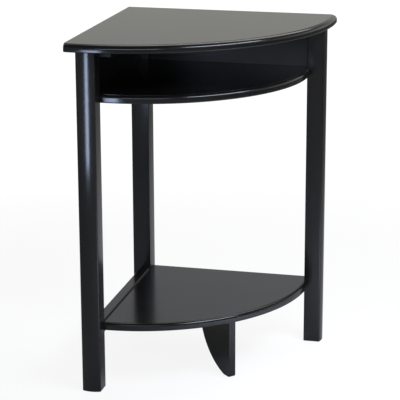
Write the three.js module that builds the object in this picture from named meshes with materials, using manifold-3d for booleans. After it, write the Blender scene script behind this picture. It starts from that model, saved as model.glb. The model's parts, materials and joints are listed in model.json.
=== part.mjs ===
// A corner table: a quarter-round top and two quarter-round shelves on three square posts, with an open
// compartment under the top and a fin-shaped foot under the front of the lower shelf.
//
// Millimetres, +Z up. Pieces are placed from the room's corner, with the back wall along +X and the
// left wall along -Y. The group then moves them, so that the origin is on the floor under the middle of
// the table's box.
import * as THREE from 'three';
import { mergeVertices } from 'three/addons/utils/BufferGeometryUtils.js';
import Module from 'manifold-3d';

const wasm = await Module();
wasm.setup();

// Overall size
const side = 500; // from a wall to the furthest point of the top
const height = 780;

// Top board
const topThickness = 18;
const topArcOffset = 36; // centre of the curved front, from each wall
const topNoseReach = 9; // rounding of the front edge, seen from above
const topNoseDrop = 9; // the same rounding, seen from the side
const topNoseUnder = 3; // radius under the front edge
const topQuirk = 0.8; // small step where the rounding meets the flat of the top
const topTipCorner = 8; // corner of the top at its two tips, seen from above

// Posts
const postSize = 42;
const wallOverhang = 21; // the top reaches this far past the posts towards a wall
const tipOverhang = 17; // and this far past an end post towards the top's tip
const crownRise = 4.5; // the end posts' outer face is crowned by this much
const crownCorner = 4;
const postArris = 1.5;
const endArris = 1;

// Shelves
const shelfThickness = 18;
const compartmentHeight = 98; // clear, between the middle shelf and the top
const lowerShelfTop = 152;
const lowerShelfArcOffset = 58; // centre of each curved front, from each wall
const middleShelfArcOffset = 80;
const lowerShelfTipLap = 8; // a shelf's tip runs this far across the face of an end post
const middleShelfTipLap = 6;
const shelfNoseReach = 7;
const shelfNoseDrop = 7;
const shelfQuirk = 0.6;
const shelfNoseUnder = 3;
const lowerShelfBackGap = 30; // from the back wall's side of the top to the lower shelf's plain edge

// Aprons, the two panels that close the compartment
const apronThickness = 16;
const apronInset = 1; // behind the posts' outer faces
const apronArris = 1;

// Cleats, the battens that hold the top to the aprons
const cleatThickness = 18;
const cleatWidth = 48;
const cleatEndGap = 3;

// Side rail, left of the lower shelf
const railThickness = 21.5;
const railHeight = 30;
const railRise = 4; // above the lower shelf
const railInset = 1.5; // behind the posts' inner faces

// Front foot, a fin that stands on the diagonal under the lower shelf
const footThickness = 18;
const footInset = 12; // behind the shelf's front edge
const footDepth = 128;
const footSole = 22;
const footToe = 4;
const footCurve = 143.5;
const footArris = 1.5;

// Dowels
const thinDowelRadius = 3;
const dowelRadius = 4;
const dowelLength = 30;
const dowelIntoBoard = 12;
const apronDowelShares = [0.3, 0.78];
const railDowelShares = [0.27, 0.73];
const footDowelShares = [0.22, 0.62];

// Countersunk wood screws
const screwRadius = 2;
const screwHeadRadius = 4;
const screwHeadDepth = 2.4;
const screwPoint = 5;
const topScrewLength = 30;
const panelScrewLength = 35;
const railScrewLength = 45;
const panelScrewShares = [0.15, 0.5, 0.85];
const topScrewShares = [0.28, 0.72];

// Cam fittings between the lower shelf and the posts
const camRadius = 7.5;
const camDepth = 12.5;
const camFromEdge = 24;
const camBoltRadius = 3;
const camBoltIntoPost = 11;
const camEdgeWall = 4.5; // wood left between a cam and the shelf's back edge

// Fits and mesh settings
const seat = 0.3; // hairline between pieces that meet
const overrun = 5; // how far a cutter runs past what it cuts
const discSegments = 120;
const noseSteps = 4;
const curveSteps = 4;
const footSteps = 10;
const roundSides = 16;
const bevelSteps = 2;

// Places that follow from the sizes
const halfPost = postSize / 2;
const postNear = wallOverhang; // a post's outer face, from its wall
const postFar = wallOverhang + postSize; // its inner face
const endPostFar = side - tipOverhang; // an end post's crown, from the room's corner
const endPostNear = endPostFar - postSize;
const topUnderside = height - topThickness;
const topRadius = side - topArcOffset;
const middleShelfUnderside = topUnderside - compartmentHeight - shelfThickness;
const lowerShelfUnderside = lowerShelfTop - shelfThickness;
const bayLength = endPostNear - postFar; // clear length between two posts
const apronNear = postNear + apronInset;
const apronFar = apronNear + apronThickness;
const apronHeight = topUnderside - middleShelfUnderside;
const railFar = postFar - railInset;
const railNear = railFar - railThickness;
const railUnderside = lowerShelfTop + railRise - railHeight;
const quarterTurn = Math.PI / 2;

const lacquer = { color: 0x1c1b1c, roughness: 0.32, metalness: 0 };
const beech = { color: 0xc8a878, roughness: 0.8, metalness: 0 };
const zinc = { color: 0xb9bdc1, roughness: 0.35, metalness: 1 };

// The closed solid inside a geometry, with its shared corners welded
function solid(geometry) {
  const bare = geometry.clone();
  bare.deleteAttribute('normal');
  bare.deleteAttribute('uv');
  const welded = mergeVertices(bare);
  const corners = [];
  for (let i = 0; i < welded.index.count; i += 3) {
    const [a, b, c] = [0, 1, 2].map((step) => welded.index.getX(i + step));
    if (a !== b && b !== c && c !== a) corners.push(a, b, c);
  }
  return new wasm.Manifold(new wasm.Mesh({
    numProp: 3,
    vertProperties: new Float32Array(welded.attributes.position.array),
    triVerts: new Uint32Array(corners),
  }));
}

function geometryOf(body) {
  const mesh = body.getMesh();
  const geometry = new THREE.BufferGeometry();
  geometry.setAttribute('position', new THREE.BufferAttribute(mesh.vertProperties, 3));
  geometry.setIndex(new THREE.BufferAttribute(mesh.triVerts, 1));
  geometry.computeVertexNormals();
  return geometry;
}

function piece(name, geometry, finish, position = new THREE.Vector3()) {
  const mesh = new THREE.Mesh(geometry, new THREE.MeshStandardMaterial(finish));
  mesh.name = name;
  mesh.position.copy(position);
  return mesh;
}

// Cuts a piece with tools that are given in the table's own coordinates
function cutFrom(mesh, tools) {
  mesh.updateMatrix();
  const home = mesh.matrix.clone().invert();
  let body = solid(mesh.geometry);
  for (const tool of tools) body = body.subtract(solid(tool.clone().applyMatrix4(home)));
  mesh.geometry = geometryOf(body);
  return mesh;
}

// A point at a distance along a wall from the room's corner, inward from that wall, and up
function spot(wall, along, inward, up) {
  return wall === 'back' ? new THREE.Vector3(along, -inward, up) : new THREE.Vector3(inward, -along, up);
}

// Unit vectors of the same three directions
function towards(wall, direction) {
  if (direction === 'up') return new THREE.Vector3(0, 0, 1);
  return direction === 'along' ? spot(wall, 1, 0, 0) : spot(wall, 0, 1, 0);
}

// Stands a shape that is turned about +Y on a point, with its own +Y along a direction
function aim(geometry, point, direction) {
  const turn = new THREE.Quaternion().setFromUnitVectors(new THREE.Vector3(0, 1, 0), direction);
  const matrix = new THREE.Matrix4().compose(point, turn, new THREE.Vector3(1, 1, 1));
  return geometry.applyMatrix4(matrix);
}

function rod(radius, length, point, direction) {
  return aim(new THREE.CylinderGeometry(radius, radius, length, roundSides), point, direction);
}

function block(low, high) {
  const size = new THREE.Vector3().subVectors(high, low);
  const middle = new THREE.Vector3().addVectors(low, high).divideScalar(2);
  return new THREE.BoxGeometry(size.x, size.y, size.z).translate(middle.x, middle.y, middle.z);
}

// A screw's outline about its axis: the head's flat face at zero, the point along +Y
function screw(length, spare = 0, above = 0) {
  const outline = [
    new THREE.Vector2(0, -above),
    new THREE.Vector2(screwHeadRadius + spare, -above),
    new THREE.Vector2(screwHeadRadius + spare, spare),
    new THREE.Vector2(screwRadius + spare, screwHeadDepth + spare),
    new THREE.Vector2(screwRadius + spare, length - screwPoint),
    new THREE.Vector2(0, length + spare),
  ];
  return new THREE.LatheGeometry(outline, roundSides);
}

// One kind of fastener: where each one goes, the metal or wood itself, and the hole it needs
function dowels(name, radius, length, places) {
  return {
    name,
    finish: beech,
    bodies: places.map(([point, direction]) => rod(radius, length, point, direction)),
    holes: places.map(([point, direction]) => rod(radius + seat, length + 2 * seat, point, direction)),
  };
}

function screws(name, length, places) {
  return {
    name,
    finish: zinc,
    bodies: places.map(([point, direction]) => aim(screw(length), point, direction)),
    holes: places.map(([point, direction]) => aim(screw(length, seat, overrun), point, direction)),
  };
}

function fastenerPieces({ name, finish, bodies }) {
  return bodies.map((geometry, i) => piece(`${name}_${i + 1}`, geometry, finish));
}

const walls = ['left', 'back'];

// Every pairing of the listed values
function pairs(first, second) {
  return first.flatMap((a) => second.map((b) => [a, b]));
}

const postCentres = {
  back_post: spot('back', postNear + halfPost, postNear + halfPost, 0),
  left_post: spot('left', endPostNear + halfPost, postNear + halfPost, 0),
  right_post: spot('back', endPostNear + halfPost, postNear + halfPost, 0),
};

const postDowels = dowels('post_dowel', dowelRadius, dowelLength, Object.values(postCentres).map((centre) => {
  const up = topUnderside + dowelIntoBoard - dowelLength / 2;
  return [new THREE.Vector3(centre.x, centre.y, up), towards('back', 'up')];
}));

const apronDowels = dowels('apron_dowel', thinDowelRadius, dowelLength, walls.flatMap((wall) => (
  pairs([postFar, endPostNear], apronDowelShares).map(([along, share]) => [
    spot(wall, along, apronNear + apronThickness / 2, middleShelfUnderside + share * apronHeight),
    towards(wall, 'along'),
  ])
)));

const railDowels = dowels('rail_dowel', dowelRadius, dowelLength, (
  pairs([postFar, endPostNear], railDowelShares).map(([along, share]) => [
    spot('left', along, railNear + railThickness / 2, railUnderside + share * railHeight),
    towards('left', 'along'),
  ])
));

const cleatScrews = screws('cleat_screw', panelScrewLength, pairs(walls, panelScrewShares).map(([wall, share]) => [
  spot(wall, postFar + share * bayLength, apronNear, topUnderside - cleatThickness / 2),
  towards(wall, 'inward'),
]));

const shelfScrews = screws('shelf_screw', panelScrewLength, pairs(walls, panelScrewShares).map(([wall, share]) => [
  spot(wall, postFar + share * bayLength, apronNear, middleShelfUnderside + shelfThickness / 2),
  towards(wall, 'inward'),
]));

const topScrews = screws('top_screw', topScrewLength, pairs(walls, topScrewShares).map(([wall, share]) => [
  spot(wall, postFar + share * bayLength, apronFar + cleatWidth / 2, topUnderside - cleatThickness),
  towards(wall, 'up'),
]));

const railScrews = screws('rail_screw', railScrewLength, panelScrewShares.map((share) => [
  spot('left', postFar + share * bayLength, railNear, lowerShelfUnderside + shelfThickness / 2),
  towards('left', 'inward'),
]));

// The cams sit in pockets under the lower shelf, and each holds a bolt that runs into a post
const camInward = lowerShelfBackGap + camEdgeWall + camRadius;
const camSides = [
  { face: postFar, way: 1 },
  { face: endPostNear, way: -1 },
];

function camPlace({ face, way }) {
  return spot('back', face + way * (camFromEdge + camRadius), camInward, lowerShelfUnderside + camDepth / 2);
}

function boltSpan({ face, way }) {
  const start = face - way * camBoltIntoPost;
  const end = face + way * (camFromEdge - seat);
  return { length: Math.abs(end - start), middle: (start + end) / 2 };
}

function camBolt(camSide, spare) {
  const { length, middle } = boltSpan(camSide);
  const up = lowerShelfUnderside + shelfThickness / 2;
  return rod(camBoltRadius + spare, length + 2 * spare, spot('back', middle, camInward, up), towards('back', 'along'));
}

const camBolts = {
  name: 'cam_bolt',
  finish: zinc,
  bodies: camSides.map((camSide) => camBolt(camSide, 0)),
  holes: camSides.map((camSide) => camBolt(camSide, seat)),
};

const cams = {
  name: 'cam_disc',
  finish: zinc,
  bodies: camSides.map((camSide) => rod(camRadius, camDepth, camPlace(camSide), towards('back', 'up'))),
  holes: camSides.map((camSide) => {
    const pocket = camPlace(camSide);
    pocket.z -= (overrun - seat) / 2;
    return rod(camRadius + seat, camDepth + overrun + seat, pocket, towards('back', 'up'));
  }),
};

// Posts
function squareOutline() {
  const inner = halfPost - postArris;
  const shape = new THREE.Shape();
  const corners = [[inner, inner], [-inner, inner], [-inner, -inner], [inner, -inner]];
  corners.forEach(([x, y], turn) => {
    shape.absarc(x, y, postArris, turn * quarterTurn, (turn + 1) * quarterTurn, false);
  });
  shape.closePath();
  return shape;
}

// The end posts' outline: flat on three sides, and crowned with rounder corners on the fourth
function crownedOutline() {
  const inner = halfPost - postArris;
  const crown = (halfPost ** 2 + crownRise ** 2) / (2 * crownRise);
  const middle = crown - halfPost;
  const across = halfPost - crownCorner;
  const back = Math.sqrt((crown - crownCorner) ** 2 - across ** 2);
  const lean = Math.atan2(across, back);
  const shape = new THREE.Shape();
  shape.absarc(inner, inner, postArris, 0, quarterTurn, false);
  shape.absarc(-inner, inner, postArris, quarterTurn, Math.PI, false);
  shape.absarc(-across, middle - back, crownCorner, Math.PI, 3 * quarterTurn - lean, false);
  shape.absarc(0, middle, crown, 3 * quarterTurn - lean, 3 * quarterTurn + lean, false);
  shape.absarc(across, middle - back, crownCorner, 3 * quarterTurn + lean, 4 * quarterTurn, false);
  shape.closePath();
  return shape;
}

function post(name, outline, turn) {
  const geometry = new THREE.ExtrudeGeometry(outline, {
    depth: topUnderside - 2 * endArris,
    bevelThickness: endArris,
    bevelSize: endArris,
    bevelOffset: -endArris,
    bevelSegments: bevelSteps,
    curveSegments: curveSteps,
  }).translate(0, 0, endArris);
  const mesh = piece(name, geometry, lacquer, postCentres[name]);
  mesh.rotation.z = turn;
  return mesh;
}

function makePosts() {
  const posts = [
    post('back_post', squareOutline(), 0),
    post('left_post', crownedOutline(), 0),
    post('right_post', crownedOutline(), quarterTurn),
  ];
  const kinds = [postDowels, apronDowels, railDowels, camBolts];
  const holes = kinds.flatMap((kind) => kind.holes);
  return posts.map((mesh) => cutFrom(mesh, holes));
}

// A plank with softened long edges, given by two opposite corners
function plank(name, low, high, arris) {
  const size = new THREE.Vector3().subVectors(high, low);
  const shape = new THREE.Shape();
  shape.moveTo(0, 0);
  shape.lineTo(size.x, 0);
  shape.lineTo(size.x, size.y);
  shape.lineTo(0, size.y);
  shape.closePath();
  const geometry = new THREE.ExtrudeGeometry(shape, {
    depth: size.z - 2 * arris,
    bevelThickness: arris,
    bevelSize: arris,
    bevelOffset: -arris,
    bevelSegments: bevelSteps,
  }).translate(0, 0, arris);
  return piece(name, geometry, lacquer, low);
}

// A plank that lies along a wall between two places, with its depth from that wall and its heights
function wallPlank(name, wall, along, inward, up, arris) {
  const ends = [spot(wall, along[0], inward[0], up[0]), spot(wall, along[1], inward[1], up[1])];
  const box = new THREE.Box3().setFromPoints(ends);
  return plank(name, box.min, box.max, arris);
}

function makeAprons() {
  const holes = [apronDowels, cleatScrews, shelfScrews].flatMap((kind) => kind.holes);
  return walls.map((wall) => cutFrom(wallPlank(
    `${wall}_apron`,
    wall,
    [postFar + seat, endPostNear - seat],
    [apronNear, apronFar],
    [middleShelfUnderside, topUnderside],
    apronArris,
  ), holes));
}

function makeCleats() {
  const holes = [cleatScrews, topScrews].flatMap((kind) => kind.holes);
  const starts = { left: postFar + cleatEndGap, back: apronFar + cleatWidth + cleatEndGap };
  return walls.map((wall) => cutFrom(wallPlank(
    `${wall}_cleat`,
    wall,
    [starts[wall], endPostNear - cleatEndGap],
    [apronFar + seat, apronFar + cleatWidth],
    [topUnderside - cleatThickness, topUnderside],
    apronArris,
  ), holes));
}

function makeRail() {
  const rail = wallPlank(
    'side_rail',
    'left',
    [postFar + seat, endPostNear - seat],
    [railNear, railFar],
    [railUnderside, railUnderside + railHeight],
    postArris,
  );
  return cutFrom(rail, [...railDowels.holes, ...railScrews.holes]);
}

// The cross-section of a board with a moulded front edge, from the axis of its curve outwards: a small
// radius underneath, an upright band, a large quarter-round, and a step up to the flat of the board
function nosedProfile(radius, thickness, { reach, drop, under, quirk }) {
  const roundTop = thickness - quirk;
  const points = [new THREE.Vector2(0, 0)];
  for (let i = 0; i <= noseSteps; i += 1) {
    const turn = (i / noseSteps) * quarterTurn;
    points.push(new THREE.Vector2(radius - under + under * Math.sin(turn), under - under * Math.cos(turn)));
  }
  for (let i = 0; i <= noseSteps; i += 1) {
    const turn = (i / noseSteps) * quarterTurn;
    const out = radius - reach + reach * Math.cos(turn);
    points.push(new THREE.Vector2(out, roundTop - drop + drop * Math.sin(turn)));
  }
  points.push(new THREE.Vector2(radius - reach, thickness), new THREE.Vector2(0, thickness));
  return points;
}

// The outline of a quarter-round board about the centre of its curve. Its tips are rounded, and between
// them it runs well outside the curve, so that it trims only the straight edges and the tips.
function trimOutline({ radius, offset, leftEdge, backEdge, tipCorner }) {
  const left = leftEdge - offset;
  const back = offset - backEdge;
  const shape = new THREE.Shape();
  shape.moveTo(left, back);
  if (tipCorner === 0) {
    shape.lineTo(radius + overrun, back);
    shape.lineTo(radius + overrun, -radius - overrun);
    shape.lineTo(left, -radius - overrun);
  } else {
    const across = back - tipCorner;
    const along = Math.sqrt((radius - tipCorner) ** 2 - across ** 2);
    const lean = Math.atan2(across, along);
    const beyond = radius / Math.cos(quarterTurn / 2 + lean) / Math.SQRT2;
    shape.lineTo(along, back);
    shape.absarc(along, across, tipCorner, quarterTurn, lean, true);
    shape.lineTo(beyond, -beyond);
    shape.absarc(-across, -along, tipCorner, -quarterTurn - lean, -2 * quarterTurn, true);
  }
  shape.closePath();
  return shape;
}

// A quarter-round board: a disc turned to its edge profile, trimmed to its straight edges
function quarterBoard(name, board) {
  const profile = nosedProfile(board.radius, board.thickness, board.nose);
  const disc = new THREE.LatheGeometry(profile, discSegments).rotateX(quarterTurn);
  const trim = new THREE.ExtrudeGeometry(trimOutline(board), {
    depth: board.thickness + 2 * overrun,
    bevelEnabled: false,
    curveSegments: curveSteps,
  }).translate(0, 0, -overrun);
  const body = solid(disc).intersect(solid(trim));
  const place = spot('back', board.offset, board.offset, board.underside);
  return piece(name, geometryOf(body), lacquer, place);
}

function makeTop() {
  const top = quarterBoard('top_board', {
    radius: topRadius,
    offset: topArcOffset,
    thickness: topThickness,
    nose: { reach: topNoseReach, drop: topNoseDrop, under: topNoseUnder, quirk: topQuirk },
    leftEdge: 0,
    backEdge: 0,
    tipCorner: topTipCorner,
    underside: topUnderside,
  });
  return cutFrom(top, [...postDowels.holes, ...topScrews.holes]);
}

// The shelves are notched round the posts
function postNotches() {
  return Object.values(postCentres).map((centre) => {
    const half = halfPost + seat;
    const low = new THREE.Vector3(centre.x - half, centre.y - half, -overrun);
    const high = new THREE.Vector3(centre.x + half, centre.y + half, height);
    return block(low, high);
  });
}

// The curve of a shelf passes this far across an end post's face
function shelfArc(offset, tipLap) {
  return Math.hypot(endPostNear + tipLap - offset, postFar - offset);
}

function shelf(name, place, holes) {
  const board = quarterBoard(name, {
    radius: shelfArc(place.offset, place.tipLap),
    thickness: shelfThickness,
    nose: { reach: shelfNoseReach, drop: shelfNoseDrop, under: shelfNoseUnder, quirk: shelfQuirk },
    tipCorner: 0,
    ...place,
  });
  return cutFrom(board, [...postNotches(), ...holes]);
}

function makeShelves() {
  const middle = shelf('middle_shelf', {
    offset: middleShelfArcOffset,
    tipLap: middleShelfTipLap,
    leftEdge: apronFar + seat,
    backEdge: apronFar + seat,
    underside: middleShelfUnderside,
  }, shelfScrews.holes);
  const lowerKinds = [railScrews, camBolts, cams, footDowels];
  const lower = shelf('lower_shelf', {
    offset: lowerShelfArcOffset,
    tipLap: lowerShelfTipLap,
    leftEdge: railFar + seat,
    backEdge: lowerShelfBackGap,
    underside: lowerShelfUnderside,
  }, lowerKinds.flatMap((kind) => kind.holes));
  return [middle, lower];
}

// Front foot, made flat in its own plane: X runs from the room's corner along the diagonal
const shelfFront = lowerShelfArcOffset * Math.SQRT2 + shelfArc(lowerShelfArcOffset, lowerShelfTipLap);
const footFront = shelfFront - footInset;
const footTop = lowerShelfUnderside - seat;

function diagonal(along, up) {
  return new THREE.Vector3(along * Math.SQRT1_2, -along * Math.SQRT1_2, up);
}

const footDowels = dowels('foot_dowel', dowelRadius, dowelLength, footDowelShares.map((share) => {
  const up = lowerShelfUnderside + dowelIntoBoard - dowelLength / 2;
  return [diagonal(footFront - share * footDepth, up), towards('back', 'up')];
}));

// The centre of an arc from one point to another that bulges down and towards the room's corner
function arcCentre(from, to, radius) {
  const chord = new THREE.Vector2().subVectors(to, from);
  const rise = Math.sqrt(radius ** 2 - chord.lengthSq() / 4);
  const across = new THREE.Vector2(chord.y, -chord.x).normalize();
  return new THREE.Vector2().addVectors(from, to).divideScalar(2).addScaledVector(across, rise);
}

function footOutline() {
  const soleEnd = new THREE.Vector2(footFront - footSole, 0);
  const heel = new THREE.Vector2(footFront - footDepth, footTop);
  const centre = arcCentre(soleEnd, heel, footCurve);
  const start = Math.atan2(soleEnd.y - centre.y, soleEnd.x - centre.x);
  const end = Math.atan2(heel.y - centre.y, heel.x - centre.x);
  const shape = new THREE.Shape();
  shape.moveTo(footFront, footTop);
  shape.lineTo(footFront, footToe);
  shape.absarc(footFront - footToe, footToe, footToe, 0, -quarterTurn, true);
  shape.lineTo(soleEnd.x, soleEnd.y);
  shape.absarc(centre.x, centre.y, footCurve, start, end, true);
  shape.closePath();
  return shape;
}

function makeFoot() {
  const depth = footThickness - 2 * footArris;
  const geometry = new THREE.ExtrudeGeometry(footOutline(), {
    depth,
    bevelThickness: footArris,
    bevelSize: footArris,
    bevelOffset: -footArris,
    bevelSegments: bevelSteps,
    curveSegments: footSteps,
  }).translate(0, 0, -depth / 2).rotateX(quarterTurn);
  const foot = piece('front_foot', geometry, lacquer);
  foot.rotation.z = -quarterTurn / 2;
  return cutFrom(foot, footDowels.holes);
}

const table = new THREE.Group();
table.position.set(-side / 2, side / 2, 0);
table.add(
  makeTop(),
  ...makePosts(),
  ...makeAprons(),
  ...makeCleats(),
  ...makeShelves(),
  makeRail(),
  makeFoot(),
);
const fastenings = [postDowels, apronDowels, railDowels, footDowels, cleatScrews, shelfScrews, topScrews];
fastenings.push(railScrews, camBolts, cams);
table.add(...fastenings.flatMap(fastenerPieces));

export default table;
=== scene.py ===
# %% [markdown]
# # A corner table in black lacquer
# This notebook dresses a corner table: a quarter-round top, a compartment under it, a lower shelf, three
# posts and a fin-shaped foot. The room's corner is at -X and +Y, and the curved front faces +X and -Y.
# Each step below gives one kind of piece its final shape or finish, in the place that its solid already
# has.

# %% The frame
import json
import math
import bmesh
import bpy
from mathutils import Matrix, Vector


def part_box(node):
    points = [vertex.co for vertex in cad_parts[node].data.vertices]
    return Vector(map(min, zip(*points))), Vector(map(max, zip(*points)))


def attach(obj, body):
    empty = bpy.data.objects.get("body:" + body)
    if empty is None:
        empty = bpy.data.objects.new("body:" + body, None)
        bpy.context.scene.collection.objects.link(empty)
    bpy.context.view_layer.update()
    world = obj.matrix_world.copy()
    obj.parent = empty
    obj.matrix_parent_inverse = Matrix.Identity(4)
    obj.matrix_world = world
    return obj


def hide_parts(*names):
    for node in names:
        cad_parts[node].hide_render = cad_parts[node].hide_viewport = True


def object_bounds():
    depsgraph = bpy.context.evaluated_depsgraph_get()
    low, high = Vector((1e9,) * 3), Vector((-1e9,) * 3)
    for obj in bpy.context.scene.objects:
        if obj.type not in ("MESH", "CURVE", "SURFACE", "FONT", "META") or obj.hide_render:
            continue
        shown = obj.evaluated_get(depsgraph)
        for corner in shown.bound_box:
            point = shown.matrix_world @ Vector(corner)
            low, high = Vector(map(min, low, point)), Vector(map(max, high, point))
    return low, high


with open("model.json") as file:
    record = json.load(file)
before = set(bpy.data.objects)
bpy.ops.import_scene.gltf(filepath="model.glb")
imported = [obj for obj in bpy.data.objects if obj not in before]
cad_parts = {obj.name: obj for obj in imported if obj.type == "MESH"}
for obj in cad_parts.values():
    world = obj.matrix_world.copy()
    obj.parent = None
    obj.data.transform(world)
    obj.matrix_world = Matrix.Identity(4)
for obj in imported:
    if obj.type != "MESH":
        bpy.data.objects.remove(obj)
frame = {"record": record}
solid_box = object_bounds()
MM = 0.001
ROOM_CORNER = Vector((solid_box[0].x, solid_box[1].y, 0))
print("solids:", [round(v, 4) for corner in solid_box for v in corner])

# %% [markdown]
# ## Writing node trees like sums
# Both geometry trees and materials need arithmetic, and dozens of wired Math nodes are hard to read.
# A small wrapper round a socket lets the tree be written as a formula: each sum adds one Math node.

# %% A socket that can be added and multiplied
def connect(tree, value, socket):
    if isinstance(value, Wire):
        tree.links.new(value.socket, socket)
    elif value is not None:
        socket.default_value = value


class Wire:
    def __init__(self, tree, socket):
        self.tree = tree
        self.socket = socket

    def math(self, operation, *terms, clamp=False):
        node = self.tree.nodes.new("ShaderNodeMath")
        node.operation = operation
        node.use_clamp = clamp
        for term, socket in zip(terms, node.inputs):
            connect(self.tree, term, socket)
        return Wire(self.tree, node.outputs[0])

    def __add__(self, other):
        return self.math("ADD", self, other)

    def __radd__(self, other):
        return self.math("ADD", other, self)

    def __sub__(self, other):
        return self.math("SUBTRACT", self, other)

    def __rsub__(self, other):
        return self.math("SUBTRACT", other, self)

    def __mul__(self, other):
        return self.math("MULTIPLY", self, other)

    def __rmul__(self, other):
        return self.math("MULTIPLY", other, self)

    def __truediv__(self, other):
        return self.math("DIVIDE", self, other)

    def __rtruediv__(self, other):
        return self.math("DIVIDE", other, self)

    def __lt__(self, other):
        return self.math("LESS_THAN", self, other)

    def __gt__(self, other):
        return self.math("GREATER_THAN", self, other)

    def root(self):
        return self.math("SQRT", self.math("MAXIMUM", self, 0.0))

    def sin(self):
        return self.math("SINE", self)

    def cos(self):
        return self.math("COSINE", self)

    def clamped(self):
        return self.math("ADD", self, 0.0, clamp=True)

    def ramp(self, low, high):
        """0 below low, 1 above high, and smooth between."""
        step = ((self - low) / (high - low)).clamped()
        return step * step * (3.0 - 2.0 * step)

    def choose(self, yes, no):
        return no + self * (yes - no)

# %% Nodes of every other kind, added by one method
class Graph:
    def __init__(self, tree):
        self.tree = tree

    def node(self, kind, settings=None, sockets=None, output=0):
        node = self.tree.nodes.new(kind)
        for name, value in (settings or {}).items():
            setattr(node, name, value)
        for name, value in (sockets or {}).items():
            connect(self.tree, value, node.inputs[name])
        return Wire(self.tree, node.outputs[output])

    def split(self, vector):
        parts = self.node("ShaderNodeSeparateXYZ", sockets={0: vector})
        return [Wire(self.tree, socket) for socket in parts.socket.node.outputs]

    def vector(self, x, y, z):
        return self.node("ShaderNodeCombineXYZ", sockets={0: x, 1: y, 2: z})

# %% [markdown]
# ## The lacquer
# The real table is painted near-black over a fine-grained board, then sprayed with a satin-gloss clear
# coat. Almost nothing of what is seen is paint: the pale top and the streak on the left post are
# reflections of the studio. So the base is nearly black, and the care goes into the gloss: grain that
# telegraphs through as long shallow lines, open pores, the faint orange peel of sprayed lacquer, and a
# slow change of gloss over each board. One recipe serves every board. What differs is the grain's
# direction, a shift of the pattern and the gloss: the posts are a little duller than the boards, the
# compartment's panels duller still, and the cleats under the top got only a thin coat.

# %% Parts that every finish uses
GRAIN_SQUEEZE = 0.045


def new_material(name):
    """A new material, the graph that its nodes are written with, and its shader."""
    material = bpy.data.materials.new(name)
    material.use_nodes = True
    return material, Graph(material.node_tree), material.node_tree.nodes["Principled BSDF"]


def object_place(graph):
    return graph.node("ShaderNodeTexCoord", output="Object")


def grain_space(graph, along, shift):
    """Object coordinates squeezed along the grain, so that round blobs become long fibres."""
    squeeze = [1.0, 1.0, 1.0]
    squeeze["XYZ".index(along)] = GRAIN_SQUEEZE
    return graph.node("ShaderNodeMapping", sockets={
        "Vector": object_place(graph), "Location": shift, "Scale": squeeze})


def noise(graph, place, scale, detail, **more):
    """Noise with about so many blobs to the metre."""
    return graph.node("ShaderNodeTexNoise", sockets={
        "Vector": place, "Scale": scale, "Detail": detail, **more})


def blend(graph, factor, first, second):
    return graph.node("ShaderNodeMix", {"data_type": "RGBA"}, {
        "Factor": factor, 6: first, 7: second}, output=2)


def emboss(graph, shader, height, strength, depth):
    bump = graph.node("ShaderNodeBump", sockets={"Strength": strength, "Distance": depth, "Height": height})
    connect(graph.tree, bump, shader.inputs["Normal"])

# %% The lacquer's recipe
DARK_PAINT = (0.0032, 0.0030, 0.0032, 1)
LIGHT_PAINT = (0.0088, 0.0080, 0.0076, 1)
LACQUER_IOR = 1.45
PORE_LIMIT = 0.42
BOARD_COAT, POST_COAT, PANEL_COAT, THIN_COAT = 0.12, 0.16, 0.30, 0.68


def lacquer(name, along, shift, coat):
    """One lacquer, whose coat is the roughness that its own small changes are added to."""
    material, graph, shader = new_material(name)
    place = object_place(graph)
    fibres_at = grain_space(graph, along, shift)
    fibres = noise(graph, fibres_at, 420.0, 5.0, Roughness=0.62)
    bands = noise(graph, fibres_at, 46.0, 3.0, Distortion=0.6)
    pores = noise(graph, fibres_at, 1500.0, 2.0)
    pits = ((PORE_LIMIT - pores) * 5.0).clamped()
    peel = noise(graph, place, 260.0, 2.0)
    cloud = noise(graph, place, 9.0, 3.0, Roughness=0.55)
    colour = blend(graph, 0.6 * bands + 0.4 * fibres, DARK_PAINT, LIGHT_PAINT)
    connect(graph.tree, colour, shader.inputs["Base Color"])
    rough = coat + 0.05 * cloud + 0.03 * fibres + 0.12 * pits
    connect(graph.tree, rough, shader.inputs["Roughness"])
    relief = 0.55 * fibres + 0.30 * bands + 0.25 * peel - 0.5 * pits
    emboss(graph, shader, relief, 0.075, 0.4 * MM)
    shader.inputs["IOR"].default_value = LACQUER_IOR
    return material


LACQUER = {
    "upright": lacquer("lacquer_upright_grain", "Z", (0.3, 0.1, 0.0), POST_COAT),
    "along_back": lacquer("lacquer_grain_along_back", "X", (0.0, 0.7, 0.2), BOARD_COAT),
    "along_side": lacquer("lacquer_grain_along_side", "Y", (0.5, 0.0, 0.4), BOARD_COAT),
    "panel_back": lacquer("panel_coat_grain_along_back", "X", (0.4, 0.3, 0.2), PANEL_COAT),
    "panel_side": lacquer("panel_coat_grain_along_side", "Y", (0.1, 0.0, 0.6), PANEL_COAT),
    "thin_back": lacquer("thin_coat_grain_along_back", "X", (0.0, 0.2, 0.9), THIN_COAT),
    "thin_side": lacquer("thin_coat_grain_along_side", "Y", (0.9, 0.0, 0.1), THIN_COAT),
}
print("finishes:", [material.name for material in LACQUER.values()])

# %% [markdown]
# ## From mesh to piece
# Every board goes through the same last steps. Curved faces are shaded smooth and real edges stay
# sharp. A Bevel modifier then breaks each edge, by a quarter of a millimetre on the mouldings and
# nearly two on the foot, as sandpaper and paint do, because an edge without any radius catches no light
# and looks drawn.

# %% Edges, material and place in the frame
EDGE_ANGLE = math.radians(32)
BEVEL_ANGLE = math.radians(40)
BEVEL_STEPS = 3


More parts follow.
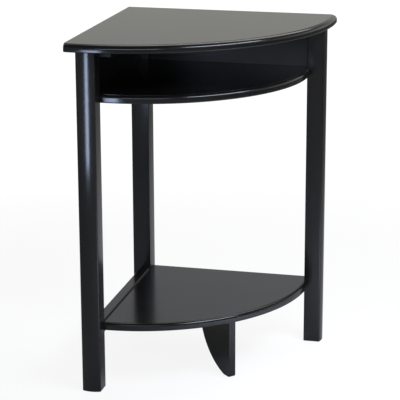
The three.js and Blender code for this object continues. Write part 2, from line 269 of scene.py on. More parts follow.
def dress(name, mesh, material, solids, arris):
    mesh.materials.clear()
    mesh.materials.append(material)
    mesh.polygons.foreach_set("use_smooth", [True] * len(mesh.polygons))
    mesh.set_sharp_from_angle(angle=EDGE_ANGLE)
    piece = bpy.data.objects.new(name, mesh)
    bpy.context.scene.collection.objects.link(piece)
    if arris:
        soften = piece.modifiers.new("arris", "BEVEL")
        soften.width = arris
        soften.segments = BEVEL_STEPS
        soften.limit_method = "WEIGHT" if "bevel_weight_edge" in mesh.attributes else "ANGLE"
        soften.angle_limit = BEVEL_ANGLE
        soften.use_clamp_overlap = False
        soften.harden_normals = True
    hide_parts(*solids)
    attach(piece, "root")
    spans = [[vertex.co[axis] for vertex in mesh.vertices] for axis in range(3)]
    print(name, "mm", [round((max(span) - min(span)) / MM, 1) for span in spans],
          "faces", len(mesh.polygons))


def mesh_from(name, shape):
    bmesh.ops.recalc_face_normals(shape, faces=shape.faces)
    mesh = bpy.data.meshes.new(name)
    shape.to_mesh(mesh)
    shape.free()
    return mesh

# %% Two simple solids, and taking one shape out of another
def prism(name, near, far):
    """A solid between an outline and the same outline further on."""
    shape = bmesh.new()
    rings = [[shape.verts.new(point) for point in outline] for outline in (near, far)]
    shape.faces.new(rings[0])
    shape.faces.new(rings[1])
    for i in range(len(near)):
        j = (i + 1) % len(near)
        shape.faces.new((rings[0][i], rings[0][j], rings[1][j], rings[1][i]))
    return mesh_from(name, shape)


def box_into(shape, low, high):
    middle = (low + high) / 2
    size = high - low
    matrix = Matrix.Translation(middle) @ Matrix.Diagonal((size.x, size.y, size.z, 1))
    bmesh.ops.create_cube(shape, size=1.0, matrix=matrix)


def cut_away(mesh, tool):
    """The mesh without what the tool covers."""
    piece = bpy.data.objects.new(mesh.name, mesh)
    cutter = bpy.data.objects.new("tool", tool)
    for each in (piece, cutter):
        bpy.context.scene.collection.objects.link(each)
    cut = piece.modifiers.new("cut", "BOOLEAN")
    cut.object = cutter
    cut.operation = "DIFFERENCE"
    cut.solver = "EXACT"
    cut.use_self = True
    view = bpy.context.evaluated_depsgraph_get()
    result = bpy.data.meshes.new_from_object(piece.evaluated_get(view), depsgraph=view)
    for each in (piece, cutter):
        bpy.data.objects.remove(each)
    return result

# %% [markdown]
# ## Where each fitting goes
# Screws and cams are sunk into the boards, so their places are needed before the boards are cut. A
# fitting's solid already says where it is. Only the way that it is driven in has to be given: its head
# is then in the middle of the side of its box that it is driven from. So no place is typed twice. A
# hole is the fitting's own outline, a tenth of a millimetre larger, turned about its axis.

# %% Places from the solids' boxes
def place_of(node_name, into):
    """The middle of the end of a box that its fitting is driven from."""
    low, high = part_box(node_name)
    middle = (low + high) / 2
    axis = max(range(3), key=lambda i: abs(into[i]))
    middle[axis] = low[axis] if into[axis] > 0 else high[axis]
    return middle


def wall_way(number):
    """The first three of each set run into the left apron and the last three into the back one."""
    return (1, 0, 0) if number <= 3 else (0, -1, 0)


panel = [(f"{kind}_screw_{i}", place_of(f"{kind}_screw_{i}", wall_way(i)), wall_way(i))
         for kind in ("cleat", "shelf") for i in range(1, 7)]
upward = [(f"top_screw_{i}", place_of(f"top_screw_{i}", (0, 0, 1)), (0, 0, 1)) for i in range(1, 5)]
inward = [(f"rail_screw_{i}", place_of(f"rail_screw_{i}", (1, 0, 0)), (1, 0, 0)) for i in range(1, 4)]
discs = [(f"cam_disc_{i}", place_of(f"cam_disc_{i}", (0, 0, 1)), (0, 0, 1)) for i in (1, 2)]
print("places:", len(panel + upward + inward + discs))

# %% Turned shapes, and the tool for a set of holes
def turned(name, outline, sides=28):
    """Turns an outline of (radius, height) pairs, from axis to axis, about Z."""
    shape = bmesh.new()
    rings = []
    for radius, height in outline:
        if radius == 0:
            rings.append([shape.verts.new((0, 0, height * MM))])
        else:
            rings.append([shape.verts.new((radius * MM * math.cos(2 * math.pi * i / sides),
                                           radius * MM * math.sin(2 * math.pi * i / sides),
                                           height * MM)) for i in range(sides)])
    for first, second in zip(rings, rings[1:]):
        for i in range(sides):
            j = (i + 1) % sides
            quad = [first[i % len(first)], first[j % len(first)],
                    second[j % len(second)], second[i % len(second)]]
            shape.faces.new(list(dict.fromkeys(quad)))
    return mesh_from(name, shape)


SCREW_HOLE = [(0, -1.0), (4.0, -1.0), (4.0, 0.4), (2.2, 2.5), (0, 2.5)]
CAM_POCKET = [(0, -1.0), (7.6, -1.0), (7.6, 12.6), (0, 12.6)]


def holes_into(shape, places, outline):
    for _, place, aim in places:
        hole = turned("hole", outline)
        hole.transform(Matrix.Translation(place) @ Vector(aim).to_track_quat("Z", "Y").to_matrix().to_4x4())
        shape.from_mesh(hole)
        bpy.data.meshes.remove(hole)

# %% [markdown]
# ## The quarter-round boards
# The top and both shelves follow one rule: a moulded edge profile swung along a curve, with straight
# edges on the two wall sides. They could be cut from a lathed disc, but the cut would leave its facets
# to chance. Here a geometry tree sweeps the profile up a straight line first, with one station for
# each step of the turn, and then bends every station to its true place: each point keeps its
# distance from the edge and its height, and the rule only says how far away the edge is in that
# direction. The rule knows the small corner at each tip, so the moulding runs round it, and the
# stations crowd towards the tips, where the edge turns fastest.

# %% The rule for the board's outline
def edge_distance(turn, centre_x, centre_y, radius, tip):
    """How far the board's edge is from its square corner, in each direction of the quarter turn."""
    across, down = turn.cos(), turn.sin()

    def reach(x, y, r, a, b):
        aside = x * b - y * a
        return x * a + y * b + (r * r - aside * aside).root()

    def tip_of(a_centre, b_centre, a, b, angle, beyond):
        inner = radius - tip
        drop = b_centre - tip
        along = a_centre + (inner * inner - drop * drop).root()
        share = radius / inner
        touch = (b_centre - drop * share).math(
            "ARCTAN2", b_centre - drop * share, a_centre + (along - a_centre) * share)
        return (angle < touch).choose(reach(along, tip, tip, a, b), beyond)

    plain = reach(centre_x, centre_y, radius, across, down)
    back_tip = tip_of(centre_x, centre_y, across, down, turn, plain)
    return tip_of(centre_y, centre_x, down, across, math.pi / 2 - turn, back_tip)

# %% The tree that makes a moulded board
PROFILE_DEPTH = 60 * MM
LEDGE = 0.1 * MM
ROUND_STEPS = 12
STATIONS = 240
CROWDING = 0.97
WELD = 0.01 * MM


def moulded_board_tree():
    tree = bpy.data.node_groups.new("moulded_quarter_board", "GeometryNodeTree")
    tree.interface.new_socket("Board", in_out="OUTPUT", socket_type="NodeSocketGeometry")
    sizes = ["Centre x", "Centre y", "Radius", "Tip", "Thickness", "Round", "Step", "Under"]
    for label in sizes:
        tree.interface.new_socket(label, in_out="INPUT", socket_type="NodeSocketFloat")
    tree.interface.new_socket("Corner", in_out="INPUT", socket_type="NodeSocketVector")
    tree.interface.new_socket("Lacquer", in_out="INPUT", socket_type="NodeSocketMaterial")
    graph = Graph(tree)
    given = tree.nodes.new("NodeGroupInput")
    size = {label: Wire(tree, given.outputs[label]) for label in sizes}
    ledge = size["Thickness"] - size["Step"]
    rim = -LEDGE - size["Round"]
    corners = [
        (-PROFILE_DEPTH, 0.0),
        (0.0, 0.0),
        (0.0, ledge),
        (rim, ledge),
        (rim, size["Thickness"]),
        (-PROFILE_DEPTH, size["Thickness"]),
    ]
    radii = [0.0, size["Under"], size["Round"], 0.0, 0.0, 0.0]
    count = graph.node("GeometryNodeInputIndex")

    def listed(kind, values):
        node = tree.nodes.new("GeometryNodeIndexSwitch")
        node.data_type = kind
        while len(node.index_switch_items) < len(values):
            node.index_switch_items.new()
        connect(tree, count, node.inputs["Index"])
        for number, value in enumerate(values):
            connect(tree, value, node.inputs[str(number)])
        return Wire(tree, node.outputs[0])

    ring = graph.node("GeometryNodeCurvePrimitiveCircle", sockets={"Resolution": len(corners)})
    profile = graph.node("GeometryNodeSetPosition", sockets={
        "Geometry": ring,
        "Position": listed("VECTOR", [graph.vector(x, y, 0.0) for x, y in corners])})
    profile = graph.node("GeometryNodeFilletCurve", {"mode": "POLY"}, {
        "Curve": profile, "Count": ROUND_STEPS, "Radius": listed("FLOAT", radii)})
    line = graph.node("GeometryNodeCurvePrimitiveLine", sockets={"End": (0, 0, 1)})
    line = graph.node("GeometryNodeResampleCurve", sockets={"Curve": line, "Count": STATIONS})
    sweep = graph.node("GeometryNodeCurveToMesh", sockets={
        "Curve": line, "Profile Curve": profile, "Fill Caps": True})
    inward, height, station = graph.split(graph.node("GeometryNodeInputPosition"))
    eased = station - CROWDING / (2 * math.pi) * (station * (2 * math.pi)).sin()
    turn = eased * (math.pi / 2)
    edge = edge_distance(turn, size["Centre x"], size["Centre y"], size["Radius"], size["Tip"])
    out = (edge + inward) * (inward > -0.5 * PROFILE_DEPTH)
    bent = graph.vector(out * turn.cos(), -1.0 * out * turn.sin(), height)
    corner = Wire(tree, given.outputs["Corner"])
    bent = graph.node("ShaderNodeVectorMath", {"operation": "ADD"}, {0: bent, 1: corner})
    board = graph.node("GeometryNodeSetPosition", sockets={"Geometry": sweep, "Position": bent})
    board = graph.node("GeometryNodeMergeByDistance", sockets={"Geometry": board, "Distance": WELD})
    board = graph.node("GeometryNodeRealizeInstances", sockets={"Geometry": board})
    board = graph.node("GeometryNodeSetMaterial", sockets={
        "Geometry": board, "Material": Wire(tree, given.outputs["Lacquer"])})
    connect(tree, board, tree.nodes.new("NodeGroupOutput").inputs[0])
    return tree


board_tree = moulded_board_tree()
print("board tree:", len(board_tree.nodes), "nodes")

# %% Running a tree once, for a plain mesh
def run_tree(name, tree, inputs, start=None):
    """The plain mesh that a geometry tree makes from its inputs."""
    worker = bpy.data.objects.new(name, start or bpy.data.meshes.new(name))
    bpy.context.scene.collection.objects.link(worker)
    maker = worker.modifiers.new(name, "NODES")
    maker.node_group = tree
    for socket in tree.interface.items_tree:
        if socket.in_out == "INPUT" and socket.name in inputs:
            maker[socket.identifier] = inputs[socket.name]
    view = bpy.context.evaluated_depsgraph_get()
    mesh = bpy.data.meshes.new_from_object(worker.evaluated_get(view), depsgraph=view)
    bpy.data.objects.remove(worker)
    return mesh

# %% [markdown]
# ## Notches
# The shelves are cut out round the posts, with a hairline of 0.3 mm, and the lower one has two round
# pockets underneath for the cams. One tool holds all of this: a box for each post, as large as its
# solid and a little more, and a turned plug for each cam.

# %% The tool for notches and pockets
HAIRLINE = 0.3 * MM
POSTS = ["back_post", "left_post", "right_post"]


def board_tool(posts, pockets):
    shape = bmesh.new()
    holes_into(shape, pockets, CAM_POCKET)
    for name in posts:
        low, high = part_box(name)
        room = Vector((HAIRLINE, HAIRLINE, 0))
        box_into(shape, low - room, high + room)
    return mesh_from("notches", shape)

# %% [markdown]
# ## Making the three boards
# Each board's straight edges come from its solid's box: its left edge, its back edge and its
# underside. The arc's centre and radius are the joiner's own sizes. The top has the larger moulding.
# The tree leaves a fan of thin faces on each flat side. Those are joined into one face first, so that
# the notches cut clean and leave no slivers for the bevel to trip over. The bevel then softens the
# rim of the upper face and the top's upright corner, and the moulding keeps its own shape.

# %% The boards
BOARDS = {
    "top_board": {"offset": 36, "radius": 464, "tip": 8, "round": 9, "step": 0.8, "posts": [],
                  "pockets": []},
    "middle_shelf": {"offset": 80, "radius": 367.4, "tip": 1, "round": 7, "step": 0.6, "posts": POSTS,
                     "pockets": []},
    "lower_shelf": {"offset": 58, "radius": 391.03, "tip": 1, "round": 7, "step": 0.6, "posts": POSTS,
                    "pockets": discs},
}
UNDER_EDGE = 3 * MM
RIM_ARRIS = 0.25 * MM
UPRIGHT = 15 * MM
RIM_STEP = 0.3 * MM
SHARP_TURN = 0.7
FLAT = 0.99999
SAME = 0.001 * MM


def join_flats(mesh):
    """The mesh with one face for all of its upper side, and one for its underside."""
    shape = bmesh.new()
    shape.from_mesh(mesh)
    for way in (1, -1):
        flats = [face for face in shape.faces if face.normal.z * way > FLAT]
        bmesh.ops.dissolve_faces(shape, faces=flats, use_verts=True)
    return mesh_from(mesh.name, shape)


def mark_rim(mesh, top, whole):
    """Marks the upper face's rim for the bevel, and a whole board's upright corner."""
    shape = bmesh.new()
    shape.from_mesh(mesh)
    weight = shape.edges.layers.float.new("bevel_weight_edge")
    for edge in shape.edges:
        depths = sorted(top - vertex.co.z for vertex in edge.verts)
        rim = depths[1] < SAME and edge.calc_length() > RIM_STEP
        upright = whole and depths[1] - depths[0] > UPRIGHT
        if edge.calc_face_angle_signed(0.0) > SHARP_TURN and (rim or upright):
            edge[weight] = 1.0
    shape.to_mesh(mesh)
    shape.free()


def make_board(name, plan):
    low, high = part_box(name)
    left, back = low.x, high.y
    mesh = join_flats(run_tree(name, board_tree, {
        "Corner": (left, back, low.z),
        "Centre x": ROOM_CORNER.x + plan["offset"] * MM - left,
        "Centre y": plan["offset"] * MM - (ROOM_CORNER.y - back),
        "Radius": plan["radius"] * MM,
        "Tip": plan["tip"] * MM,
        "Thickness": high.z - low.z,
        "Round": plan["round"] * MM,
        "Step": plan["step"] * MM,
        "Under": UNDER_EDGE,
        "Lacquer": LACQUER["along_back"],
    }))
    if plan["posts"]:
        mesh = cut_away(mesh, board_tool(plan["posts"], plan["pockets"]))
    mark_rim(mesh, high.z, whole=not plan["posts"])
    dress(name + "_lacquered", mesh, LACQUER["along_back"], [name], RIM_ARRIS)


for board_name, board_plan in BOARDS.items():
    make_board(board_name, board_plan)

# %% [markdown]
# ## The posts
# Three posts of square stock. The two at the ends have their outer face planed to a shallow crown, and
# that crown is what draws the long streak of light down the left post. A crowned section is only a
# 2-D outline, so the post is its outline raised to full height, and the crown stays exact.

# %% An outline of arcs, raised to a post
def arc(centre, radius, start, end, steps):
    angles = [math.radians(start + (end - start) * i / steps) for i in range(steps + 1)]
    return [Vector((centre[0] + radius * math.cos(t), centre[1] + radius * math.sin(t))) for t in angles]


HALF_POST, POST_ARRIS, CROWN_RISE, CROWN_CORNER = 21.0, 1.5, 4.5, 4.0
POST_END_ARRIS = 1.0 * MM


def square_outline():
    inner = HALF_POST - POST_ARRIS
    corners = [(inner, inner), (-inner, inner), (-inner, -inner), (inner, -inner)]
    return [point for i, corner in enumerate(corners)
            for point in arc(corner, POST_ARRIS, 90 * i, 90 * i + 90, 5)]


def crowned_outline():
    inner = HALF_POST - POST_ARRIS
    crown = (HALF_POST ** 2 + CROWN_RISE ** 2) / (2 * CROWN_RISE)
    middle = crown - HALF_POST
    across = HALF_POST - CROWN_CORNER
    back = math.sqrt((crown - CROWN_CORNER) ** 2 - across ** 2)
    lean = math.degrees(math.atan2(across, back))
    outline = arc((inner, inner), POST_ARRIS, 0, 90, 5)
    outline += arc((-inner, inner), POST_ARRIS, 90, 180, 5)
    outline += arc((-across, middle - back), CROWN_CORNER, 180, 270 - lean, 8)
    outline += arc((0, middle), crown, 270 - lean, 270 + lean, 24)[1:-1]
    outline += arc((across, middle - back), CROWN_CORNER, 270 + lean, 360, 8)
    return outline


def make_post(name, outline, quarter_turns):
    low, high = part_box(name)
    middle = (low + high) / 2
    turn = Matrix.Rotation(quarter_turns * math.pi / 2, 2)
    placed = [turn @ (point * MM) + middle.xy for point in outline]
    sole, top = ([(point.x, point.y, z) for point in placed] for z in (low.z, high.z))
    dress(name + "_lacquered", prism(name, sole, top), LACQUER["upright"], [name], POST_END_ARRIS)


make_post("back_post", square_outline(), 0)
make_post("left_post", crowned_outline(), 0)
make_post("right_post", crowned_outline(), 1)

# %% [markdown]
# ## The straight boards
# The two aprons, the two cleats under the top and the rail are plain planks. Each takes its place from
# its solid's box and its softened edges from the bevel, wider on the rail, which a hand can touch. The
# grain runs along each plank's length, because that is how planks are sawn. Where a screw's head lies
# in a plank's face, the plank has a countersunk hole. Only a plank's own twelve edges are softened,
# because a drill leaves a crisp rim.

# %% The planks
PLANKS = {
    "back_apron": ("panel_back", 0.8),
    "left_apron": ("panel_side", 0.8),
    "back_cleat": ("thin_back", 0.8),
    "left_cleat": ("thin_side", 0.8),
    "side_rail": ("along_side", 1.6),
}
SLACK = 0.1 * MM


def box_edges(mesh, low, high):
    """Marks the plank's own twelve edges for the bevel, and leaves the holes' rims crisp."""
    weight = mesh.attributes.new("bevel_weight_edge", "FLOAT", "EDGE")
    for edge, item in zip(mesh.edges, weight.data):
        first, second = (mesh.vertices[i].co for i in edge.vertices)
        shared = sum(abs(first[i] - side[i]) < SAME and abs(second[i] - side[i]) < SAME
                     for side in (low, high) for i in range(3))
        item.value = float(shared == 2)


def make_plank(name, grain, arris):
    low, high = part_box(name)
    shape, holes = bmesh.new(), bmesh.new()
    box_into(shape, low, high)
    sunk = [entry for entry in panel + upward + inward
            if all(low[i] - SLACK < entry[1][i] < high[i] + SLACK for i in range(3))]
    holes_into(holes, sunk, SCREW_HOLE)
    mesh = cut_away(mesh_from(name, shape), mesh_from("holes", holes))
    box_edges(mesh, low, high)
    dress(name + "_lacquered", mesh, LACQUER[grain], [name], arris * MM)
    print(name, "screw holes:", len(sunk))


for plank_name, (plank_grain, plank_arris) in PLANKS.items():
    make_plank(plank_name, plank_grain, plank_arris)

# %% [markdown]
# ## The foot
# Under the front of the lower shelf stands a fin, sawn from one board and set on the diagonal. Its
# front edge is upright, its other edge sweeps up and back in one arc from the sole. It is drawn flat,
# as the joiner would draw it on the board, and then given its thickness across the diagonal.

# %% The fin's outline and its thickness
FOOT = {"front": 461.06, "depth": 128, "sole": 22, "toe": 4, "curve": 143.5, "thickness": 18}
FOOT_ARRIS = 1.8 * MM


def foot_outline(top):
    front = FOOT["front"]
    sole_end = Vector((front - FOOT["sole"], 0))
    heel = Vector((front - FOOT["depth"], top))
    chord = heel - sole_end
    rise = math.sqrt(FOOT["curve"] ** 2 - chord.length_squared / 4)
    centre = (sole_end + heel) / 2 + Vector((chord.y, -chord.x)).normalized() * rise
    start = math.degrees(math.atan2(sole_end.y - centre.y, sole_end.x - centre.x)) % 360
    end = math.degrees(math.atan2(heel.y - centre.y, heel.x - centre.x)) % 360
    toe = FOOT["toe"]
    outline = [Vector((front, top))]
    outline += arc((front - toe, toe), toe, 0, -90, 6)
    outline += arc(centre, FOOT["curve"], start, end, 40)
    return outline


def make_foot():
    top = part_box("front_foot")[1].z
    ahead = Vector((1, -1, 0)).normalized()
    aside = Vector((1, 1, 0)).normalized()
    cheeks = []
    for side in (-0.5, 0.5):
        offset = aside * (side * FOOT["thickness"] * MM)
        cheeks.append([ROOM_CORNER + ahead * (point.x * MM) + Vector((0, 0, point.y * MM)) + offset
                       for point in foot_outline(top / MM)])
    dress("front_foot_lacquered", prism("front_foot", *cheeks), LACQUER["upright"], ["front_foot"],
          FOOT_ARRIS)


make_foot()

# %% [markdown]
# ## The fittings' metal and wood
# Behind and underneath, the table shows what holds it together: countersunk screws and two cam discs
# of zinc. Inside, dowels of bare beech. The zinc's colour and bump wander with the same stains. Its
# roughness was meant to wander too, but the crystals' distance counts cells and not metres, so the sum
# passes 1 almost everywhere and the metal is matt. Beech has short dark flecks along its grain.

# %% Zinc and beech
DULL_ZINC, BRIGHT_ZINC = (0.48, 0.47, 0.44, 1), (0.72, 0.74, 0.76, 1)
PALE_BEECH, DARK_BEECH = (0.56, 0.38, 0.22, 1), (0.33, 0.19, 0.10, 1)
FLECK_LIMIT = 0.58


def zinc():
    material, graph, shader = new_material("bright_zinc")
    place = object_place(graph)
    crystals = graph.node("ShaderNodeTexVoronoi", sockets={"Vector": place, "Scale": 1800.0})
    stain = noise(graph, place, 240.0, 4.0)
    connect(graph.tree, blend(graph, stain, DULL_ZINC, BRIGHT_ZINC), shader.inputs["Base Color"])
    connect(graph.tree, 0.24 + 0.22 * stain + 120.0 * crystals, shader.inputs["Roughness"])
    emboss(graph, shader, stain, 0.2, 0.1 * MM)
    shader.inputs["Metallic"].default_value = 1.0
    return material


def beech():
    material, graph, shader = new_material("bare_beech")
    fibres = noise(graph, grain_space(graph, "Z", (0.2, 0.6, 0.1)), 900.0, 4.0)
    flecks = ((fibres - FLECK_LIMIT) * 6.0).clamped()
    connect(graph.tree, blend(graph, flecks, PALE_BEECH, DARK_BEECH), shader.inputs["Base Color"])
    connect(graph.tree, 0.62 + 0.2 * fibres, shader.inputs["Roughness"])
    emboss(graph, shader, fibres, 0.3, 0.2 * MM)
    return material


ZINC, BEECH = zinc(), beech()
nodes = [entry["node"] for entry in frame["record"]["subparts"]]
for word, material in {"dowel": BEECH, "cam_bolt": ZINC}.items():
    for node_name in nodes:
        if word in node_name:
            for slot in bpy.data.objects[node_name].material_slots:
                slot.material = material
print("beech dowels:", sum("dowel" in name for name in nodes))

# %% [markdown]
# ## Screws and cams
# Nineteen screws of three lengths and two cam discs repeat, so one of each is turned and a
# geometry tree sets copies out. The tree stands an instance on every point of a small mesh whose points
# are the heads' places, and turns it along a vector stored on each point. A cross recess is pressed
# into each screw, and a wider cross into each cam inside its rim, by subtracting two bars.

# %% Screws and cams, each with its cross
def press_cross(mesh, width, length, depth):
    """Subtracts a cross from the face that looks along -Z at height zero."""
    bars = bmesh.new()
    for across in (Vector((length, width, 0)), Vector((width, length, 0))):
        half = across * (MM / 2)
        box_into(bars, Vector((-half.x, -half.y, -1 * MM)), Vector((half.x, half.y, depth * MM)))
    return cut_away(mesh, mesh_from("cross", bars))


def screw(length):
    body = turned("screw", [
        (0, 0.0), (3.55, 0.0), (3.9, 0.15), (3.9, 0.35), (2.1, 2.4), (1.9, 3.0),
        (1.9, length - 5), (0, length)])
    return press_cross(body, 0.9, 4.4, 1.3)


def cam():
    body = turned("cam", [
        (0, 0.9), (5.6, 0.9), (6.1, 0.0), (7.2, 0.0), (7.5, 0.3), (7.5, 12.2), (7.2, 12.5), (0, 12.5)])
    return press_cross(body, 1.3, 8.2, 2.6)

# %% The tree that sets fittings out
def setting_out_tree():
    tree = bpy.data.node_groups.new("set_fittings_out", "GeometryNodeTree")
    tree.interface.new_socket("Fittings", in_out="OUTPUT", socket_type="NodeSocketGeometry")
    tree.interface.new_socket("Places", in_out="INPUT", socket_type="NodeSocketGeometry")
    tree.interface.new_socket("Fitting", in_out="INPUT", socket_type="NodeSocketObject")
    tree.interface.new_socket("Metal", in_out="INPUT", socket_type="NodeSocketMaterial")
    tree.interface.new_socket("Seed", in_out="INPUT", socket_type="NodeSocketInt")
    graph = Graph(tree)
    given = tree.nodes.new("NodeGroupInput")
    fitting = graph.node("GeometryNodeObjectInfo", sockets={
        "Object": Wire(tree, given.outputs["Fitting"])}, output="Geometry")
    aim = graph.node("GeometryNodeInputNamedAttribute", {"data_type": "FLOAT_VECTOR"}, {"Name": "aim"})
    spin = graph.node("FunctionNodeRandomValue", {"data_type": "FLOAT"}, {
        "Max": 2 * math.pi, "Seed": Wire(tree, given.outputs["Seed"])}, output=1)
    spin = graph.node("FunctionNodeEulerToRotation", sockets={0: graph.vector(0.0, 0.0, spin)})
    aimed = graph.node("FunctionNodeAlignRotationToVector", {"axis": "Z"}, {"Vector": aim})
    rotation = graph.node("FunctionNodeRotateRotation", {"rotation_space": "LOCAL"}, {
        "Rotation": aimed, "Rotate By": spin})
    places = graph.node("GeometryNodeMeshToPoints", sockets={"Mesh": Wire(tree, given.outputs["Places"])})
    copies = graph.node("GeometryNodeInstanceOnPoints", sockets={
        "Points": places, "Instance": fitting, "Rotation": rotation})
    copies = graph.node("GeometryNodeRealizeInstances", sockets={"Geometry": copies})
    copies = graph.node("GeometryNodeSetMaterial", sockets={
        "Geometry": copies, "Material": Wire(tree, given.outputs["Metal"])})
    connect(tree, copies, tree.nodes.new("NodeGroupOutput").inputs[0])
    return tree


setting_out = setting_out_tree()

# %% Setting one kind out
def set_out(name, fitting_mesh, places, seed):
    points = bpy.data.meshes.new(name + "_places")
    points.from_pydata([place for _, place, _ in places], [], [])
    aims = points.attributes.new("aim", "FLOAT_VECTOR", "POINT")
    for item, (_, _, aim) in zip(aims.data, places):
        item.vector = aim
    sample = bpy.data.objects.new(name + "_sample", fitting_mesh)
    bpy.context.scene.collection.objects.link(sample)
    mesh = run_tree(name, setting_out, {"Fitting": sample, "Metal": ZINC, "Seed": seed}, points)
    bpy.data.objects.remove(sample)
    dress(name, mesh, ZINC, [node for node, _, _ in places], 0)


set_out("panel_screws", screw(35), panel, 3)
set_out("top_screws", screw(30), upward, 5)
set_out("rail_screws", screw(45), inward, 7)
set_out("cam_discs", cam(), discs, 11)

# %% [markdown]
# ## Floor and studio
# The photograph has a plain white ground that runs into a white backdrop. A white that bright must not
# light the table, so the floor is two things at once: a pale matt floor for light and reflections, and,
# for the camera alone, nearly white by itself with a share of the real floor mixed in, which keeps the
# soft shadow under the feet. Of the white, reflections get a small share, and more of it from the
# stretch well in front of the table, which the front panels mirror. The world does the same: white to
# the camera, and a calm grey-white studio to everything else, a touch warm behind the table and a
# touch cool in front. In front it is darker, most of all on the right, and nearly black overhead. The
# studio's back wall dims a little from the height that the top mirrors to the height that the lower
# shelf mirrors, where it is also less warm, and dims more towards the left of the shelf. Above that it
# is brighter, up to the dark ceiling. On the right it is dark high up and light low down, so that the
# right end of each moulding shows a dark band over a light line.

# %% How white the studio is, to the camera and in reflections
def seen_white(graph, camera_share, mirror_share):
    rays = graph.tree.nodes.new("ShaderNodeLightPath")
    camera_ray, glossy_ray, through_ray = (
        Wire(graph.tree, rays.outputs[name])
        for name in ("Is Camera Ray", "Is Glossy Ray", "Is Transmission Ray"))
    return camera_share * camera_ray + mirror_share * glossy_ray + mirror_share * through_ray

# %% The floor
FLOOR_HALF = 14.0
# The floor's matt grey is painted: lighter near the table and darker further off, a painted falloff of
# light.
PAINTED_LIT_GREY, PAINTED_DIM_GREY = (0.70, 0.70, 0.70, 1), (0.50, 0.50, 0.50, 1)
WHITE = (1, 1, 1, 1)
SHADOW_AND_FALLOFF_ENDS = (0.8, 2.4)
MIRRORED_FROM, MIRRORED_TO = (1.0, 2.8), (3.6, 4.8)
sheet = bpy.data.meshes.new("floor")
sheet.from_pydata([(x * FLOOR_HALF, y * FLOOR_HALF, 0) for x, y in ((-1, -1), (1, -1), (1, 1), (-1, 1))],
                  [], [(0, 1, 2, 3)])
floor = bpy.data.objects.new("floor", sheet)
bpy.context.scene.collection.objects.link(floor)
paint, graph, unpainted = new_material("pale_floor")
paint.node_tree.nodes.remove(unpainted)
place = object_place(graph)
spots = noise(graph, place, 2.0, 2.0)
from_table = graph.node("ShaderNodeVectorMath", {"operation": "LENGTH"}, {0: place}, output="Value")
beyond = (from_table + 0.1 * (spots - 0.5)).ramp(*SHADOW_AND_FALLOFF_ENDS)
# Painted falloff of light: the matt colour goes from the lighter grey near the table to the darker grey far
# off, so reflections and bounced light see a dimmer floor further away.
matt = graph.node("ShaderNodeBsdfDiffuse", sockets={"Color": blend(graph, beyond, PAINTED_LIT_GREY, PAINTED_DIM_GREY)})
white = graph.node("ShaderNodeEmission", sockets={"Color": WHITE, "Strength": 1.10})
ahead = -1.0 * graph.split(place)[1]
in_front = ahead.ramp(*MIRRORED_FROM) * (1.0 - ahead.ramp(*MIRRORED_TO))
camera_share = 0.80 + 0.16 * beyond
mirror_share = 0.04 + 0.26 * in_front
surface = graph.node("ShaderNodeMixShader", sockets={
    0: seen_white(graph, camera_share, mirror_share), 1: matt, 2: white})
underneath = graph.node("ShaderNodeNewGeometry", output="Backfacing")
clear = graph.node("ShaderNodeBsdfTransparent")
surface = graph.node("ShaderNodeMixShader", sockets={0: underneath, 1: surface, 2: clear})
connect(graph.tree, surface, paint.node_tree.nodes["Material Output"].inputs["Surface"])
floor.data.materials.append(paint)

# %% The world
WARM_WHITE, COOL_WHITE = (1.01, 1.00, 0.90, 1), (0.80, 0.88, 1.08, 1)
world = bpy.data.worlds.new("studio")
bpy.context.scene.world = world
world.use_nodes = True
graph = Graph(world.node_tree)
backdrop = world.node_tree.nodes["Background"]
aside, away, rise = graph.split(graph.node("ShaderNodeTexCoord", output="Generated"))
behind = away.ramp(-0.35, 0.45)
wall_height = 0.54 - 0.09 * rise.ramp(0.17, 0.32) + 0.5 * rise.ramp(0.36, 0.5)
wall_ends = 1.0 - rise.ramp(0.60, 0.85)
shelf_fade = 1.0 + rise.ramp(0.22, 0.30) * (0.24 * aside.ramp(-0.30, -0.08) - 0.14)
dark_band = 1.0 - 0.85 * aside.ramp(-0.12, 0.0) * rise.ramp(0.34, 0.40)
light_line = 1.0 + aside.ramp(0.45, 0.60) * (1.0 - rise.ramp(0.25, 0.38))
wall = wall_height * wall_ends * shelf_fade * dark_band * light_line
room = (0.34 - 0.16 * aside.ramp(-0.2, 0.5)) * (1.0 - rise.ramp(0.12, 0.40))
studio_level = behind.choose(wall, room) + 0.02
warm = behind * (1.0 - 0.75 * rise.ramp(0.18, 0.30) * (rise < 0.36))
studio = graph.node("ShaderNodeVectorMath", {"operation": "SCALE"}, {
    0: blend(graph, warm, COOL_WHITE, WARM_WHITE), "Scale": studio_level})
colour = blend(graph, seen_white(graph, 1.0, 0.08), studio, WHITE)
connect(graph.tree, colour, backdrop.inputs["Color"])

# %% [markdown]
# ## Lamps
# Black lacquer shows its lamps rather than its colour, so each lamp is placed by what mirrors it. A
# wide soft box high behind gives the even light. One on the right, at twice the table's height, draws
# the thin line along every moulding. A small one stands close in front of the left post, whose crowned
# face mirrors it as a streak: the streak fades half-way down, where the post begins to mirror bare
# floor. A long, weak one in front reaches the inner panels, which have the duller coat. The last
# hangs over the floor on the right, and its narrow beam misses the table: the undersides of the
# mouldings and the front of the foot mirror the pool of light that it makes. Radiance is easier to
# think in than watts, so a helper turns one into the other.

# %% Soft boxes
def soft_box(name, place, target, width, height, radiance, colour, spread=180):
    lamp = bpy.data.lights.new(name, "AREA")
    lamp.shape = "RECTANGLE"
    lamp.size, lamp.size_y = width, height
    lamp.energy = radiance * math.pi * width * height
    lamp.color = colour
    lamp.spread = math.radians(spread)
    holder = bpy.data.objects.new(name, lamp)
    holder.location = place
    holder.rotation_mode = "QUATERNION"
    holder.rotation_quaternion = (Vector(target) - Vector(place)).to_track_quat("-Z", "Y")
    bpy.context.scene.collection.objects.link(holder)
    print(name, round(lamp.energy, 1), "W")


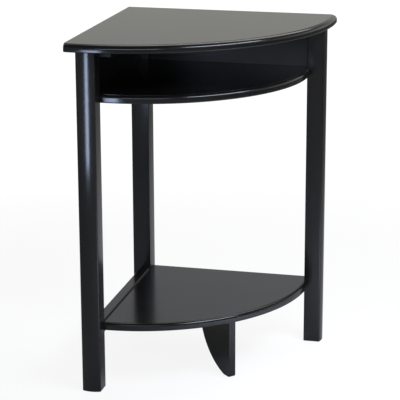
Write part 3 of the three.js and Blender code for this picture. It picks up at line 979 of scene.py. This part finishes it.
soft_box("behind_above", (0.2, 1.7, 2.7), (0, 0, 0.6), 2.3, 1.7, 2.5, (1.0, 0.99, 0.94))
soft_box("right_above", (1.12, -0.55, 1.50), (0.25, -0.15, 0.3), 1.2, 0.36, 17.0, (0.80, 0.87, 1.0))
soft_box("left_front", (-0.265, -0.60, 0.56), (-0.30, -0.25, 0.61), 0.10, 0.29, 4.4, (0.58, 0.70, 1.0), 80)
soft_box("front_fill", (0.16, -1.60, 1.02), (0.16, 0.0, 0.72), 1.0, 0.20, 6.8, (0.78, 0.86, 1.0))
soft_box("floor_pool", (0.80, -0.38, 1.35), (0.75, -0.35, 0.0), 0.4, 0.4, 12.0, (0.76, 0.83, 1.0), 60)

# %% [markdown]
# ## The camera
# The lens, distance and angles come from fitting the table's own edges to the photograph: seen from a
# little right of the front and from 15 degrees above, with a long lens. A small shift puts the table
# where the photograph frames it.

# %% The camera
AZIMUTH, ELEVATION, ROLL = (math.radians(v) for v in (13.156, 15.164, -0.006))
CAMERA_AT = (0.8363, -3.4501, 1.3983)
FRAME_WIDTH, FOCAL_LENGTH = 400, 1638.4  # both in pixels of the photograph
SENSOR_WIDTH = 36
SHIFT = -0.05
back = Vector((math.sin(AZIMUTH) * math.cos(ELEVATION), -math.cos(AZIMUTH) * math.cos(ELEVATION),
               math.sin(ELEVATION)))
sideways = Vector((math.cos(AZIMUTH), math.sin(AZIMUTH), 0))
upright = back.cross(sideways)
right = sideways * math.cos(ROLL) + upright * math.sin(ROLL)
up = upright * math.cos(ROLL) - sideways * math.sin(ROLL)
lens = bpy.data.cameras.new("camera")
lens.sensor_width = SENSOR_WIDTH
lens.lens = SENSOR_WIDTH * FOCAL_LENGTH / FRAME_WIDTH
lens.shift_x, lens.shift_y = SHIFT, SHIFT
camera = bpy.data.objects.new("camera", lens)
pose = Matrix((right, up, back)).transposed().to_4x4()
pose.translation = CAMERA_AT
camera.matrix_world = pose
bpy.context.scene.collection.objects.link(camera)
bpy.context.scene.camera = camera
bpy.context.scene.view_settings.view_transform = "Standard"
